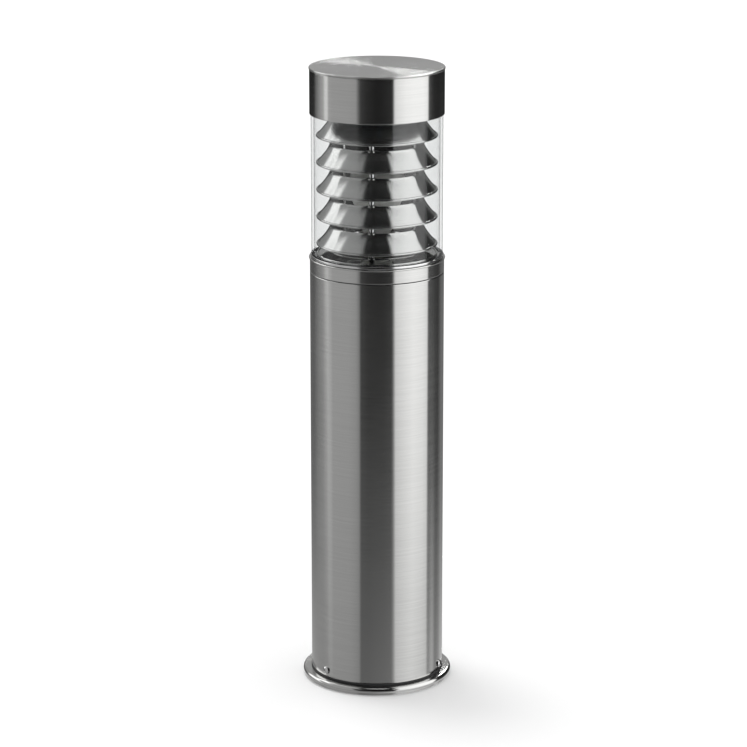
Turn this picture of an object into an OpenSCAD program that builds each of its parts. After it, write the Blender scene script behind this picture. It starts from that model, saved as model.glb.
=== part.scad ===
// Louvred bollard light: a brushed steel column on a round flange, with a lift-off lamp head.
// Origin at the centre of the base on the ground, +Z up, front towards -Y. Millimetres.

/* [Column] */
// Outside diameter of the column, the collar and the cap skirt
body_d = 140; // [138:1:160]
// Length of the column tube
column_l = 433.2; // [300:1:900]
// Wall of the column tube
tube_wall = 1.5; // [1.2:0.1:2]
// Height of the black seal ring under the column tube
seal_h = 1.9; // [1:0.1:3]
// Height of the three column screws above the ground
screw_z = 17; // [15:0.5:22]

/* [Base] */
// How far the base flange reaches beyond the column
flange_over = 9; // [7:0.5:14]
// Height of the base flange
flange_h = 8.6; // [8:0.1:10]
// Pitch circle of the three anchor holes
anchor_pcd = 90; // [86:1:96]
// Diameter of each anchor hole
anchor_d = 10; // [8:0.5:11]
// Bore of the rubber gland for the supply cable
cable_d = 10; // [7:0.5:12]

/* [Head] */
// Height of the locking collar
collar_h = 14.9; // [14.5:0.1:18]
// Outside diameter of the clear tube
glass_d = 136.8; // [136:0.1:136.9]
// Wall of the clear tube
glass_wall = 3; // [2.5:0.1:3.2]
// Distance from one louvre to the next
louvre_pitch = 28.5; // [27:0.5:31]
// Diameter of a louvre across its rolled lip
louvre_d = 126; // [122:1:129]
// Diameter of a louvre's neck
neck_d = 98; // [97:0.5:104]
// Sheet thickness of the louvres
louvre_t = 1.2; // [1:0.1:1.6]
// Height of the cap, skirt and top disc together
cap_h = 48.6; // [45:0.1:60]

/* [Lamp] */
// Diameter of the lamp's globe
lamp_d = 60; // [45:1:62]
// Length of the lamp from its contact to its crown
lamp_l = 106; // [95:1:108]

/* [Hidden] */
$fn = 96;

STEEL = [0.72, 0.72, 0.71];
POLISHED = [0.82, 0.82, 0.82];
CASTING = [0.58, 0.59, 0.6];
ZINC = [0.66, 0.67, 0.66];
BRASS = [0.8, 0.65, 0.3];
RUBBER = [0.07, 0.07, 0.07];
PORCELAIN = [0.93, 0.92, 0.88];
PLASTIC = [0.9, 0.9, 0.86];
CLEAR = [0.85, 0.9, 0.92, 0.3];

eps = 0.05;                 // gap of a screw in its thread or a bonded joint
run_gap = 0.4;              // gap between the pieces of two bodies
body_r = body_d / 2;
bore_r = body_r - tube_wall;
edge = 0.5;                 // bevel on the column tube's ends

// Base
flange_r = body_r + flange_over;
rim_r = 2.9;                // rounding of the flange's rolled rim
foot_h = 3;                 // the foot under the rim
foot_inset = 2.5;
flange_bore_r = body_r - 6.8;
floor_r = flange_bore_r - 0.2;
floor_t = 7;
spigot_r = bore_r - 0.3;
spigot_top = 34;
spigot_wall = 4.2;
web_t = 3.4;
anchor_angles = [10, 130, 250];
screw_angles = [-50, 70, 190];
anchor_pad_r = 10;
anchor_pad_h = 9;
gland_r = 11;               // hole in the casting for the cable gland
gland_collar_r = 16;
gland_collar_h = 14;
gland_flange_r = 14;
earth_x = 28;               // earth boss on the casting
earth_y = -24;
earth_boss_z = 9;

// Column
tube_z = flange_h + seal_h;
tube_top = tube_z + column_l;
ring_l = 24;                // length of the top ring inside the tube
ring_bore_r = body_r - 10;
ledge_r = body_r - 19;
ledge_t = 4;
ledge_drop = 8.1;           // top of the ledge below the tube's top
plate_r = ring_bore_r - 0.4;
plate_t = 2;
plate_screw_r = body_r - 14.5;
spigot2_r = body_r - 2.8;   // the top ring's spigot inside the collar
spigot2_h = 4.7;
seam_h = 0.35;

// Collar and head base
collar_z = tube_top + seam_h + run_gap - eps;
collar_top = collar_z + collar_h;
collar_in_r = spigot2_r + run_gap;
lip_t = 2.4;
lip_in_r = body_r - 3.8;
lip_over = 1;               // how far the collar's top bead stands proud
lip_bead_h = 1.5;
head_z = tube_top + 6.3;    // underside of the head base
head_floor_t = 3;
head_hole_r = 38;
head_flange_r = spigot2_r;
head_flange_h = collar_top - lip_t - run_gap - head_z;
head_neck_r = lip_in_r - run_gap;
seat_z = collar_top + run_gap;
seat_t = 1.5;
seat_bead = 0.9;
seat_r = body_r - 0.7;
gasket_t = 1;

// Clear tube
glass_r = glass_d / 2;
glass_in_r = glass_r - glass_wall;
glass_z = seat_z + seat_t + gasket_t;

// Louvres, counted from the top down
LOUVRES = 5;
louvre_r = louvre_d / 2;
neck_r = neck_d / 2;
neck_gap = 7.2;             // from a louvre's neck top up to the next louvre's rim
dish_gap = 5;               // from the dish's neck up to the lowest rim
skirt_gap = 4.7;            // from the skirt's foot up to where a sixth rim would be
louvre_h = louvre_pitch - neck_gap;
flare_h = 19.5;             // height of the flared part
flare_r = 5;                // how far the flare's bend point lies outside the neck
lip_r = 1.3;                // radius of the rolled lip
curve_steps = 8;
low_rim_z = seat_z + 12;    // rim of the lowest louvre
skirt_z = low_rim_z + LOUVRES * louvre_pitch - skirt_gap;
total_h = skirt_z + cap_h;

// Tie rods
rod_angles = [-7, 113, 233];
rod_pcr = 44.5;
rod_r = 2;
spacer_r = 3;
tab_w = 11;
tab_in_r = rod_pcr - 4.5;
nut_af = 7;
nut_h = 3.2;

// Cap
skirt_r = body_r - 0.2;
skirt_in_r = glass_r + 0.2;
disc_r = body_r + 0.4;
disc_t = 2;
shadow_gap = 0.6;
glass_top = skirt_z + 6.5;
cap_plate_z = glass_top + 2.5;
cap_plate_t = 2.5;
stud_r = 3;

// Lamp and lampholder
plate_z = tube_top - ledge_drop;
holder_z = plate_z + plate_t;
holder_r = 23;
holder_h = 45;
socket_r = 14.6;
socket_depth = 30;
shell_r = 14.4;
shell_in_r = 13.9;
cap_screw_r = 13.2;         // a 27 mm lamp cap
lamp_z = holder_z + holder_h - socket_depth + 4.4;
globe_r = lamp_d / 2;
lamp_cap_z = lamp_z + 3;
lamp_cap_h = 22;
lamp_neck_h = 22;
lamp_hole_r = 12;           // wire hole in the gear plate

// Terminals and wires
bracket_y = 20;
bracket_w = 40;
bracket_t = 1.5;
bracket_h = 62;
block_w = 36;
block_d = 18;
block_z = 40;
block_h = 20;
pole_pitch = 12;
pole_y = bracket_y - block_d / 2;
wire_r = 1.2;
wire_sides = 8;
lug_r = 4.4;                // ring terminals of the earth leads
lug_t = 1.3;
crimp_r = 1.9;
WIRE_LIVE = [[-12, 11, 56], [-12, 11, 75], [-20, 4, 120], [-24, -2, 220], [-16, 3, 330],
    [-9, 1, 405], [-8, 0, 430], [-8, 0, 449]];
WIRE_NEUTRAL = [[0, 11, 56], [0, 11, 75], [5, 5, 120], [12, -6, 220], [11, -2, 330],
    [8, 0, 405], [8, 0, 430], [8, 0, 449]];
WIRE_EARTH = [[12, 11, 56], [12, 11, 75], [20, 14, 120], [27, 12, 220], [28, 14, 330],
    [24, 18, 405], [24, 18, 424], [24, 18, 434]];
WIRE_BOND = [[12, 11, 44], [12, 11, 33], [15, 6, 21], [23, 0, 13], [28, -7, 11], [28, -12, 11],
    [28, -18, 11]];

// ---------- helpers ----------

// Places children at an angle from the front and a radius, facing outwards along -Y
module at_angle(angle, r) rotate([0, 0, angle]) translate([0, -r, 0]) children();

module ring(r_out, r_in, h) {
    difference() {
        cylinder(r = r_out, h = h);
        translate([0, 0, -1]) cylinder(r = r_in, h = h + 2);
    }
}

// A flat annulus profile between two radii and two heights, for rotate_extrude
module band(r_in, r_out, z0, z1) translate([r_in, z0]) square([r_out - r_in, z1 - z0]);

module hex(af, h) rotate([0, 0, 30]) cylinder(r = af / sqrt(3), h = h, $fn = 6);

// A pan-head screw along -Z from its head's underside at z = 0, with a cross recess
module pan_screw(shank_r, shank_l, head_r, head_h) {
    recess = head_r * 0.3;
    translate([0, 0, -shank_l]) cylinder(r = shank_r, h = shank_l + 0.5);
    difference() {
        intersection() {
            cylinder(r = head_r, h = head_h);
            translate([0, 0, head_h - head_r * 1.6]) sphere(r = head_r * 1.6);
        }
        for (turn = [0, 90])
            rotate([0, 0, turn])
                translate([-head_r * 0.6, -recess / 2, head_h * 0.55])
                    cube([head_r * 1.2, recess, head_h]);
    }
}

// Catmull-Rom point between b and c
function spline(a, b, c, d, t) =
    0.5 * (2 * b + (c - a) * t + (2 * a - 5 * b + 4 * c - d) * t * t
        + (3 * b - a - 3 * c + d) * t * t * t);
function knot(route, i) = route[max(0, min(len(route) - 1, i))];
function smooth_route(route, steps) = [
    for (i = [0 : len(route) - 2])
        for (s = [0 : steps - 1])
            spline(knot(route, i - 1), route[i], route[i + 1], knot(route, i + 2), s / steps),
    route[len(route) - 1]
];
function unit(v) = v / norm(v);
function heading(path, i) =
    unit(path[min(len(path) - 1, i + 1)] - path[max(0, i - 1)]);

// A closed tube swept along a path, its sides kept square to the X axis
module wire(route, steps) {
    path = smooth_route(route, steps);
    rings = len(path);
    points = [
        for (i = [0 : rings - 1])
            let (dir = heading(path, i), side = unit(cross(dir, [1, 0, 0])), up = cross(side, dir))
                for (k = [0 : wire_sides - 1])
                    path[i] + wire_r * (side * cos(360 * k / wire_sides) + up * sin(360 * k / wire_sides))
    ];
    walls = [
        for (i = [0 : rings - 2])
            for (k = [0 : wire_sides - 1])
                let (n = (k + 1) % wire_sides)
                    [i * wire_sides + k, i * wire_sides + n, (i + 1) * wire_sides + n,
                        (i + 1) * wire_sides + k]
    ];
    first = [for (k = [wire_sides - 1 : -1 : 0]) k];
    last = [for (k = [0 : wire_sides - 1]) (rings - 1) * wire_sides + k];
    polyhedron(points = points, faces = concat(walls, [first, last]), convexity = 4);
}

// Flare of a louvre from its neck, at t = 0, to its rim, at t = 1
function flare(t, h, bend) =
    let (a = [neck_r, h], b = [neck_r + flare_r, h * bend], c = [louvre_r - 1.2 * lip_r, 1.2 * lip_r])
        (1 - t) * (1 - t) * a + 2 * t * (1 - t) * b + t * t * c;
function flare_in(t, h, bend) =
    let (d = flare(min(1, t + 0.01), h, bend) - flare(max(0, t - 0.01), h, bend))
        flare(t, h, bend) + louvre_t * unit([d[1], -d[0]]);

// A spun louvre with its rim at z = 0: neck, flare, rolled lip and three tabs for the tie rods
module louvre_shell(total, flared) {
    outer = [for (i = [0 : curve_steps]) flare(i / curve_steps, flared, 0.5)];
    inner = [for (i = [curve_steps : -1 : 0]) flare_in(i / curve_steps, flared, 0.5)];
    rotate_extrude() {
        polygon(concat([[neck_r - louvre_t, total], [neck_r, total]], outer, inner));
        translate([louvre_r - lip_r, lip_r]) circle(r = lip_r, $fn = 32);
    }
    for (angle = rod_angles)
        rod_tab(angle, total - louvre_t);
}

// A tab that reaches in from a louvre's neck and is drilled for a tie rod
module rod_tab(angle, z) {
    difference() {
        at_angle(angle, 0)
            translate([0, 0, z]) {
                translate([-tab_w / 2, -neck_r + louvre_t / 2, 0])
                    cube([tab_w, neck_r - louvre_t / 2 - rod_pcr, louvre_t]);
                translate([0, -rod_pcr, 0]) cylinder(r = tab_w / 2, h = louvre_t);
            }
        at_angle(angle, rod_pcr)
            translate([0, 0, z - 1]) cylinder(r = rod_r + 0.2, h = louvre_t + 2);
    }
}

module louvre(index) {
    color(STEEL)
        translate([0, 0, low_rim_z + (LOUVRES - index) * louvre_pitch])
            louvre_shell(louvre_h, flare_h);
}

// ---------- base ----------

module base_flange() {
    color(STEEL)
        rotate_extrude() {
            band(flange_bore_r, flange_r - rim_r, 0, flange_h);
            band(flange_bore_r, flange_r - foot_inset, 0, foot_h);
            translate([flange_r - rim_r, flange_h - rim_r]) circle(r = rim_r, $fn = 48);
        }
}

module base_casting() {
    inner_r = floor_r - spigot_wall;
    shoulder = flange_h + eps;
    color(CASTING)
        difference() {
            union() {
                rotate_extrude()
                    polygon([
                        [0, 0], [floor_r, 0], [floor_r, shoulder], [spigot_r, shoulder],
                        [spigot_r, spigot_top], [spigot_r - spigot_wall, spigot_top],
                        [spigot_r - spigot_wall, shoulder + web_t], [inner_r, shoulder + web_t],
                        [inner_r, floor_t], [gland_collar_r, floor_t],
                        [gland_collar_r, gland_collar_h], [0, gland_collar_h]
                    ]);
                for (angle = screw_angles)
                    at_angle(angle, spigot_r - 9)
                        translate([-6, -6, shoulder]) cube([12, 12, screw_z + 6 - shoulder]);
                for (angle = anchor_angles)
                    at_angle(angle, anchor_pcd / 2) cylinder(r = anchor_pad_r, h = anchor_pad_h);
                translate([earth_x, earth_y, 1]) cylinder(r = 5, h = earth_boss_z - 1);
            }
            for (angle = anchor_angles)
                at_angle(angle, anchor_pcd / 2)
                    translate([0, 0, -1]) cylinder(d = anchor_d, h = anchor_pad_h + 2);
            for (angle = screw_angles)
                at_angle(angle, spigot_r + 1)
                    translate([0, 0, screw_z]) rotate([-90, 0, 0]) cylinder(r = 2 + eps, h = 14);
            translate([0, 0, -1]) cylinder(r = gland_r, h = gland_collar_h + 2);
            for (x = [-12, 12])
                translate([x, bracket_y + 8, 1]) cylinder(r = 2 + eps, h = floor_t);
            translate([earth_x, earth_y, 1]) cylinder(r = 2 + eps, h = earth_boss_z);
        }
}

module cable_gland() {
    color(RUBBER)
        rotate_extrude() {
            band(cable_d / 2, gland_r - eps, 0.5, gland_collar_h + 1);
            band(cable_d / 2, gland_flange_r, gland_collar_h + eps, gland_collar_h + 2.5);
        }
}

// A crimp barrel that starts at z = 0 and opens along +Z
module crimp(length) ring(crimp_r, wire_r + 0.1, length);

// Earth screw and, as a separate solid under its head, the ring terminal of its lead
module base_earth_screw() {
    color(BRASS)
        translate([earth_x, earth_y, earth_boss_z + lug_t + 2 * eps]) {
            pan_screw(2, 8, 3.8, 2.6);
            translate([0, 0, -lug_t - eps]) {
                ring(lug_r, 2 + eps, lug_t);
                translate([0, lug_r - 0.6, crimp_r]) rotate([-90, 0, 0]) crimp(7);
            }
        }
}

module terminal_bracket() {
    color(ZINC)
        difference() {
            union() {
                translate([-bracket_w / 2, bracket_y, floor_t]) cube([bracket_w, bracket_t, bracket_h]);
                translate([-bracket_w / 2, bracket_y, floor_t]) cube([bracket_w, 15, bracket_t]);
            }
            for (x = [-12, 12])
                translate([x, bracket_y + 8, floor_t - 1]) cylinder(r = 2.3, h = 4);
        }
}

module bracket_screws() {
    color(ZINC)
        for (x = [-12, 12])
            translate([x, bracket_y + 8, floor_t + bracket_t + eps]) pan_screw(2, 6, 3.8, 2.6);
}

module terminal_block() {
    color(PLASTIC)
        difference() {
            union() {
                for (i = [-1 : 1])
                    translate([i * pole_pitch - 5.4, bracket_y - block_d, block_z])
                        cube([10.8, block_d, block_h]);
                translate([-block_w / 2, bracket_y - block_d * 0.6, block_z + 4])
                    cube([block_w, block_d * 0.6, block_h - 8]);
            }
            for (i = [-1 : 1]) {
                translate([i * pole_pitch, pole_y, block_z - 1]) cylinder(r = 3, h = block_h + 2);
                for (z = [block_z + 5, block_z + block_h - 5])
                    translate([i * pole_pitch, bracket_y - block_d - 1, z])
                        rotate([-90, 0, 0]) cylinder(r = 2.4, h = block_d / 2);
            }
        }
}

module terminal_clamps() {
    color(BRASS)
        for (i = [-1 : 1])
            difference() {
                translate([i * pole_pitch, pole_y, block_z + 1]) ring(2.9, 1.7, block_h - 2);
                for (z = [block_z + 5, block_z + block_h - 5])
                    translate([i * pole_pitch, pole_y - 6, z])
                        rotate([-90, 0, 0]) cylinder(r = 1.5 + eps, h = 6);
            }
}

module terminal_screws() {
    color(ZINC)
        for (i = [-1 : 1])
            for (z = [block_z + 5, block_z + block_h - 5])
                translate([i * pole_pitch, pole_y, z])
                    rotate([90, 0, 0]) {
                        translate([0, 0, 1.3]) cylinder(r = 1.5, h = 3.4);
                        translate([0, 0, 4.4])
                            difference() {
                                cylinder(r = 2.1, h = 2.2);
                                translate([-3, -0.35, 1.2]) cube([6, 0.7, 2]);
                            }
                    }
}

// ---------- column ----------

module tube_seal() {
    color(RUBBER)
        translate([0, 0, flange_h]) ring(body_r + 0.4, spigot_r + 0.1, seal_h);
}

module column_tube() {
    color(STEEL)
        difference() {
            rotate_extrude()
                polygon([
                    [bore_r, tube_z], [body_r - edge, tube_z], [body_r, tube_z + edge],
                    [body_r, tube_top - edge], [body_r - edge, tube_top], [bore_r, tube_top]
                ]);
            for (angle = screw_angles)
                at_angle(angle, body_r + 1)
                    translate([0, 0, screw_z]) rotate([-90, 0, 0]) cylinder(r = 2.3, h = 6);
        }
}

module column_screws() {
    color(POLISHED)
        for (angle = screw_angles)
            at_angle(angle, body_r + eps)
                translate([0, 0, screw_z]) rotate([90, 0, 0]) pan_screw(2, 13, 4, 2.6);
}

module column_top_ring() {
    color(CASTING)
        difference() {
            rotate_extrude() {
                band(ring_bore_r, bore_r - eps, tube_top - ring_l, tube_top - eps);
                band(ring_bore_r, spigot2_r, tube_top - 1, tube_top + spigot2_h);
                band(ledge_r, ring_bore_r + 1, plate_z - ledge_t, plate_z);
            }
            for (angle = [30, 150, 270])
                at_angle(angle, plate_screw_r)
                    translate([0, 0, plate_z - ledge_t - 1]) cylinder(r = 1.5 + eps, h = ledge_t + 2);
        }
}

module seam_seal() {
    color(RUBBER)
        translate([0, 0, tube_top]) ring(body_r - edge, spigot2_r + 0.1, seam_h);
}

module head_seal() {
    color(RUBBER)
        translate([0, 0, tube_top + spigot2_h]) ring(spigot2_r - 0.4, ring_bore_r + 1, 1.3);
}

module gear_plate() {
    color(ZINC)
        difference() {
            translate([0, 0, plate_z]) cylinder(r = plate_r, h = plate_t);
            translate([0, 0, plate_z - 1]) cylinder(r = lamp_hole_r, h = plate_t + 2);
            for (angle = [30, 150, 270])
                at_angle(angle, plate_screw_r)
                    translate([0, 0, plate_z - 1]) cylinder(r = 1.8, h = plate_t + 2);
            for (x = [-17, 17])
                translate([x, 0, plate_z - 1]) cylinder(r = 1.8, h = plate_t + 2);
            translate([30, 18, plate_z - 1]) cylinder(r = 2 + eps, h = plate_t + 2);
        }
}

module gear_plate_screws() {
    color(ZINC)
        for (angle = [30, 150, 270])
            at_angle(angle, plate_screw_r)
                translate([0, 0, holder_z + eps]) pan_screw(1.5, 5.5, 2.8, 2);
}

module plate_earth_screw() {
    color(BRASS) {
        translate([30, 18, holder_z + eps]) pan_screw(2, plate_t + 3.4, 3.8, 2.6);
        translate([30, 18, plate_z - lug_t - eps]) ring(lug_r, 2 + eps, lug_t);
        translate([30 - lug_r - crimp_r + 0.3, 18, plate_z - 8]) crimp(7);
    }
}

// ---------- lampholder ----------

module lampholder_base() {
    color(PORCELAIN)
        difference() {
            union() {
                translate([0, 0, holder_z]) cylinder(r = holder_r, h = 12);
                translate([0, 0, holder_z + 11]) cylinder(r1 = holder_r, r2 = holder_r - 3, h = 6);
                translate([0, 0, holder_z + 16]) cylinder(r = holder_r - 3, h = holder_h - 16);
            }
            translate([0, 0, holder_z + holder_h - socket_depth]) cylinder(r = socket_r, h = socket_depth + 1);
            for (x = [-8, 8])
                translate([x, 0, holder_z - 1]) cylinder(r = 1.7, h = 13);
            for (x = [-17, 17]) {
                translate([x, 0, holder_z - 1]) cylinder(r = 1.5 + eps, h = 9);
            }
        }
}

module lampholder_screws() {
    color(ZINC)
        for (x = [-17, 17])
            translate([x, 0, plate_z - eps]) rotate([180, 0, 0]) pan_screw(1.5, 8, 2.8, 2);
}

module lampholder_shell() {
    color(BRASS)
        translate([0, 0, holder_z + holder_h - socket_depth + 3])
            ring(shell_r, shell_in_r, socket_depth - 5);
}

// Centre contact: a spring tongue bent up from the floor of the socket
module lampholder_contact() {
    floor_z = holder_z + holder_h - socket_depth;
    color(BRASS)
        translate([-3, 0, floor_z]) {
            translate([0, -9, 0]) cube([6, 12, 0.8]);
            translate([0, -1, 0.7]) cube([6, 4, 1.6]);
            translate([0, -4, 2.2]) cube([6, 7, 0.8]);
        }
}

// ---------- wires ----------

module wire_live() color([0.45, 0.25, 0.12]) wire(WIRE_LIVE, 8);
module wire_neutral() color([0.12, 0.3, 0.65]) wire(WIRE_NEUTRAL, 8);
module wire_earth() color([0.3, 0.6, 0.15]) wire(WIRE_EARTH, 8);
module wire_bond() color([0.3, 0.6, 0.15]) wire(WIRE_BOND, 4);

// ---------- lamp ----------

module lamp_globe() {
    centre = lamp_z + lamp_l - globe_r;
    throat_r = 17;
    throat_z = lamp_cap_z + lamp_cap_h + lamp_neck_h - 8;
    throat_h = 5;
    slope = 30;
    drop = globe_r * sin(slope);
    color([0.95, 0.95, 0.92]) {
        translate([0, 0, centre]) sphere(r = globe_r);
        translate([0, 0, throat_z]) cylinder(r = throat_r, h = throat_h);
        translate([0, 0, throat_z + throat_h])
            cylinder(r1 = throat_r, r2 = globe_r * cos(slope) - eps, h = centre - drop - throat_z - throat_h);
    }
}

module lamp_neck() {
    z0 = lamp_cap_z + lamp_cap_h;
    color([0.9, 0.9, 0.9]) {
        translate([0, 0, z0 + eps]) cylinder(r1 = 13.5, r2 = 17.6, h = lamp_neck_h - 10);
        translate([0, 0, z0 + lamp_neck_h - 10])
            ring(18.4, 17.1, 6);
        translate([0, 0, z0 + lamp_neck_h - 10]) cylinder(r = 18.4, h = 1.8);
    }
}

module lamp_cap() {
    pitch = 3.62;
    color(BRASS) {
        translate([0, 0, lamp_cap_z]) cylinder(r = cap_screw_r - 0.7, h = lamp_cap_h);
        for (i = [0 : 4])
            translate([0, 0, lamp_cap_z + 3 + i * pitch])
                rotate_extrude() translate([cap_screw_r - 0.9, 0]) circle(r = 0.9, $fn = 24);
        translate([0, 0, lamp_cap_z - 1.6]) cylinder(r1 = 7, r2 = cap_screw_r - 0.7, h = 1.7);
    }
}

module lamp_contact() {
    color(ZINC) translate([0, 0, lamp_z]) cylinder(r1 = 3.6, r2 = 4.8, h = 1.35);
}

// ---------- head ----------

module locking_collar() {
    color(STEEL)
        rotate_extrude() {
            band(collar_in_r, body_r, collar_z, collar_top);
            band(lip_in_r, body_r, collar_top - lip_t, collar_top);
            band(body_r - 1, body_r + lip_over - lip_bead_h / 2, collar_top - lip_bead_h, collar_top);
            translate([body_r + lip_over - lip_bead_h / 2, collar_top - lip_bead_h / 2])
                circle(r = lip_bead_h / 2, $fn = 32);
        }
}

module head_base() {
    color(CASTING)
        difference() {
            rotate_extrude() {
                band(head_hole_r, head_flange_r, head_z, head_z + head_floor_t);
                band(ring_bore_r + 1, head_flange_r, head_z, head_z + head_flange_h);
                band(ring_bore_r + 1, head_neck_r, head_z, seat_z);
            }
            for (angle = rod_angles)
                at_angle(angle, rod_pcr)
                    translate([0, 0, head_z - 1]) cylinder(r = rod_r + 0.2, h = head_floor_t + 2);
        }
}

module glass_seat() {
    color(POLISHED)
        rotate_extrude() {
            band(ring_bore_r, seat_r - seat_bead, seat_z, seat_z + seat_t);
            band(seat_r - seat_bead, seat_r, seat_z + seat_bead / 2, seat_z + seat_t + gasket_t * 0.6);
            translate([seat_r - seat_bead / 2, seat_z + seat_t + gasket_t * 0.6])
                circle(r = seat_bead / 2, $fn = 24);
            band(seat_r - seat_bead - 0.1, seat_r, seat_z, seat_z + seat_t);
        }
}

module lower_glass_gasket() {
    color(RUBBER)
        translate([0, 0, seat_z + seat_t]) ring(glass_r, glass_in_r - 0.2, gasket_t);
}

module clear_tube() {
    color(CLEAR)
        translate([0, 0, glass_z]) ring(glass_r, glass_in_r, glass_top - glass_z);
}

// A shallow flared dish under the lowest louvre, cut from the louvre's own form
module base_reflector() {
    rim_z = seat_z + seat_t + eps;
    top = low_rim_z - dish_gap - rim_z;
    color(STEEL)
        translate([0, 0, rim_z]) louvre_shell(top, top - 1);
}

module louvre_1() louvre(1);
module louvre_2() louvre(2);
module louvre_3() louvre(3);
module louvre_4() louvre(4);
module louvre_5() louvre(5);

// One spacer tube on each tie rod, between two heights
module spacer_set(z0, z1) {
    for (angle = rod_angles)
        at_angle(angle, rod_pcr)
            translate([0, 0, z0]) ring(spacer_r, rod_r + 0.1, z1 - z0);
}

module rod_spacers() {
    color(POLISHED) {
        spacer_set(head_z + head_floor_t, low_rim_z - dish_gap - louvre_t);
        spacer_set(low_rim_z - dish_gap, low_rim_z + louvre_h - louvre_t);
        for (i = [1 : LOUVRES - 1])
            spacer_set(low_rim_z + i * louvre_pitch - neck_gap,
                low_rim_z + i * louvre_pitch + louvre_h - louvre_t);
        spacer_set(low_rim_z + LOUVRES * louvre_pitch - neck_gap, cap_plate_z);
    }
}

module tie_rods() {
    color(ZINC)
        for (angle = rod_angles)
            at_angle(angle, rod_pcr)
                translate([0, 0, head_z - nut_h - 1.2])
                    cylinder(r = rod_r, h = cap_plate_z + cap_plate_t + nut_h + 1.2 - head_z + nut_h + 1.2);
}

module rod_nuts() {
    color(ZINC)
        for (angle = rod_angles)
            for (z = [head_z - nut_h, cap_plate_z + cap_plate_t])
                at_angle(angle, rod_pcr)
                    translate([0, 0, z])
                        difference() {
                            hex(nut_af, nut_h);
                            translate([0, 0, -1]) cylinder(r = rod_r + eps, h = nut_h + 2);
                        }
}

// ---------- cap ----------

module upper_glass_gasket() {
    color(RUBBER)
        rotate_extrude() {
            band(glass_in_r - 1, glass_r + 0.1, glass_top, cap_plate_z);
            band(glass_in_r - 1, glass_in_r - 0.1, glass_top - 4, glass_top + 0.5);
        }
}

module cap_plate() {
    color(ZINC)
        difference() {
            translate([0, 0, cap_plate_z]) cylinder(r = skirt_in_r - 0.2, h = cap_plate_t);
            for (angle = rod_angles)
                at_angle(angle, rod_pcr)
                    translate([0, 0, cap_plate_z - 1]) cylinder(r = rod_r + 0.2, h = cap_plate_t + 2);
            translate([0, 0, cap_plate_z - 1]) cylinder(r = stud_r + 0.3, h = cap_plate_t + 2);
        }
}

module cap_skirt() {
    color(STEEL)
        rotate_extrude()
            polygon([
                [skirt_in_r, skirt_z], [skirt_r - edge, skirt_z], [skirt_r, skirt_z + edge],
                [skirt_r, total_h - disc_t - shadow_gap], [skirt_in_r, total_h - disc_t - shadow_gap]
            ]);
}

module cap_disc() {
    round_r = disc_t / 2;
    color(STEEL)
        rotate_extrude() {
            band(0, disc_r - round_r, total_h - disc_t, total_h);
            translate([disc_r - round_r, total_h - round_r]) circle(r = round_r, $fn = 32);
            band(skirt_in_r - 3, skirt_in_r - 0.1, total_h - disc_t - 5, total_h - disc_t + 0.5);
        }
}

module cap_stud() {
    color(ZINC)
        translate([0, 0, cap_plate_z - 9]) cylinder(r = stud_r, h = total_h - disc_t - cap_plate_z + 9);
}

module cap_nut() {
    color(ZINC)
        translate([0, 0, cap_plate_z - 5 - 1.2]) {
            difference() {
                hex(10, 5);
                translate([0, 0, -1]) cylinder(r = stud_r + eps, h = 7);
            }
            translate([0, 0, 5]) ring(7, stud_r + eps, 1.2);
        }
}

base_flange();
base_casting();
cable_gland();
base_earth_screw();
terminal_bracket();
bracket_screws();
terminal_block();
terminal_clamps();
terminal_screws();
tube_seal();
column_tube();
column_screws();
column_top_ring();
seam_seal();
head_seal();
gear_plate();
gear_plate_screws();
plate_earth_screw();
lampholder_base();
lampholder_screws();
lampholder_shell();
lampholder_contact();
wire_live();
wire_neutral();
wire_earth();
wire_bond();
lamp_globe();
lamp_neck();
lamp_cap();
lamp_contact();
locking_collar();
head_base();
glass_seat();
lower_glass_gasket();
clear_tube();
base_reflector();
louvre_1();
louvre_2();
louvre_3();
louvre_4();
louvre_5();
rod_spacers();
tie_rods();
rod_nuts();
upper_glass_gasket();
cap_plate();
cap_skirt();
cap_disc();
cap_stud();
cap_nut();
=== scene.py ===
import logging
import math
from abc import ABC, abstractmethod
from dataclasses import dataclass
from enum import Enum
from typing import Any, Iterable, Mapping, Sequence

import bmesh
import bpy
from mathutils import Matrix, Vector
from mathutils.geometry import interpolate_bezier


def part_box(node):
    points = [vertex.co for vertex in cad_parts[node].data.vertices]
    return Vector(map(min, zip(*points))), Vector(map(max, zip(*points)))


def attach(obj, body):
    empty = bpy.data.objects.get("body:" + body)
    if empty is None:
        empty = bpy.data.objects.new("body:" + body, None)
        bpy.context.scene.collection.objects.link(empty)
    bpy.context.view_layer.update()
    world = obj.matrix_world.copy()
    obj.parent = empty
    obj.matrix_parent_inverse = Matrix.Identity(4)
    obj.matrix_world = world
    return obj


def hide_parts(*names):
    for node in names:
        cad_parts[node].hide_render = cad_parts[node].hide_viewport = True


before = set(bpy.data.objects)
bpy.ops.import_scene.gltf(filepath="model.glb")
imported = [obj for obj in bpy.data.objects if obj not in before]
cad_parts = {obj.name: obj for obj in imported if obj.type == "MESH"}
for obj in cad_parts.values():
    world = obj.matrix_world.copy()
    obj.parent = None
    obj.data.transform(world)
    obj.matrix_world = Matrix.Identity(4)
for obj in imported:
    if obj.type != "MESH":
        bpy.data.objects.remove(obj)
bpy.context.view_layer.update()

MM = 0.001
TURN_STEPS = 192
SMALL_TURN_STEPS = 40
HOLD = 0.35
SHARP_ANGLE = math.radians(38)
RADIANCE_SCALE = 40.0
# The face attribute that says where brushed steel gets painted shade.
INWARD = "painted_shade_side"
INWARD_LIMIT = -0.2
ON_AXIS = 1e-7
SOFT_SEGMENTS = 5
BEAD_SEGMENTS = 20

log = logging.getLogger("bollard")


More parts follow.
